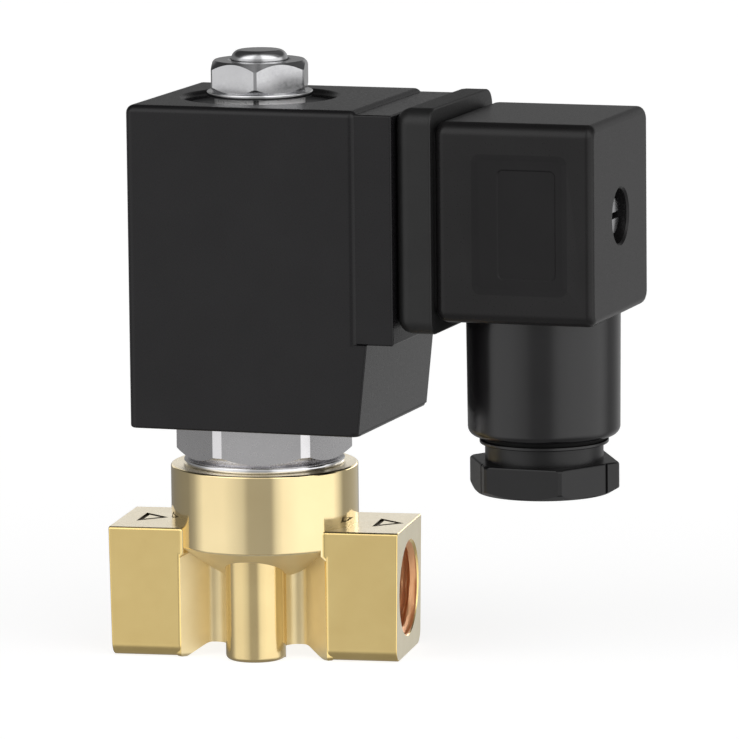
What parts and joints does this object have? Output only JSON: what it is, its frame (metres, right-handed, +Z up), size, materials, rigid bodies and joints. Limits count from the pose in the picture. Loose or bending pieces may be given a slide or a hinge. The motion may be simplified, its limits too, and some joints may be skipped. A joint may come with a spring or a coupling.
{
  "type": "solenoid valve",
  "caption": "Two-way solenoid valve: ported brass body, turnable moulded coil clamped by a top nut, and a right-angle pull-off cable plug with a gland.",
  "frame": {"origin": "on the valve's axis at the base face, between the two foot bosses", "axes": "+X along the ports from inlet to outlet, +Y to the back, +Z up the guide tube"},
  "size_m": [0.0741, 0.0363, 0.0848],
  "materials": {
    "brass": "forged and bead-blasted brass with polished collar",
    "plated_steel": "bright nickel plate",
    "stainless": "turned stainless steel",
    "zinc_steel": "zinc-plated steel",
    "black_steel": "black-coated steel",
    "coil_black": "black moulded resin, satin",
    "plug_black": "black glass-filled nylon, satin",
    "rubber_black": "black rubber",
    "copper": "enamelled copper",
    "bobbin_white": "natural nylon",
    "carrier_grey": "grey nylon",
    "tinned": "tinned brass"
  },
  "bodies": {
    "valve": {"valve_body": "brass", "body_seal": "rubber_black", "guide_tube": "stainless", "pole_piece": "stainless", "shading_ring": "copper", "return_spring": "stainless", "tube_nut": "plated_steel", "tube_washer": "plated_steel", "lock_washer": "zinc_steel", "flat_washer": "plated_steel"},
    "plunger": {"plunger": "stainless", "seat_disc": "rubber_black"},
    "coil": {"coil_case": "coil_black", "bobbin": "bobbin_white", "winding": "copper", "yoke": "black_steel", "line_pins": "tinned", "earth_pin": "tinned", "screw_insert": "tinned"},
    "top_nut": {"top_nut": "plated_steel"},
    "plug": {"plug_gasket": "rubber_black", "plug_housing": "plug_black", "contact_carrier": "carrier_grey", "contacts": "tinned", "terminal_screws": "zinc_steel", "screw_seal": "rubber_black", "gland_seal": "rubber_black", "gland_ring": "plug_black"},
    "plug_screw": {"plug_screw": "zinc_steel"},
    "gland_nut": {"gland_nut": "plug_black"}
  },
  "joints": [
    {"name": "plunger_lift", "type": "slide", "parent": "valve", "child": "plunger", "axis": [0, 0, 1], "range_m": [0, 0.0018], "stiffness_N_per_m": 350, "springref_m": -0.004, "deforming": ["return_spring"]},
    {"name": "coil_swivel", "type": "hinge", "parent": "valve", "child": "coil", "pos_m": [0, 0, 0.0332], "axis": [0, 0, 1], "continuous": true},
    {"name": "top_nut_turn", "type": "hinge", "parent": "valve", "child": "top_nut", "pos_m": [0, 0, 0.0791], "axis": [0, 0, 1], "continuous": true},
    {"name": "plug_pull", "type": "slide", "parent": "coil", "child": "plug", "axis": [0.9925, -0.1219, 0], "range_m": [0, 0.03]},
    {"name": "plug_screw_turn", "type": "hinge", "parent": "plug", "child": "plug_screw", "pos_m": [0, 0, 0.0631], "axis": [0.9925, -0.1219, 0], "continuous": true},
    {"name": "gland_nut_turn", "type": "hinge", "parent": "plug", "child": "gland_nut", "pos_m": [0.04079, -0.00501, 0.02895], "axis": [0, 0, 1], "continuous": true}
  ]
}
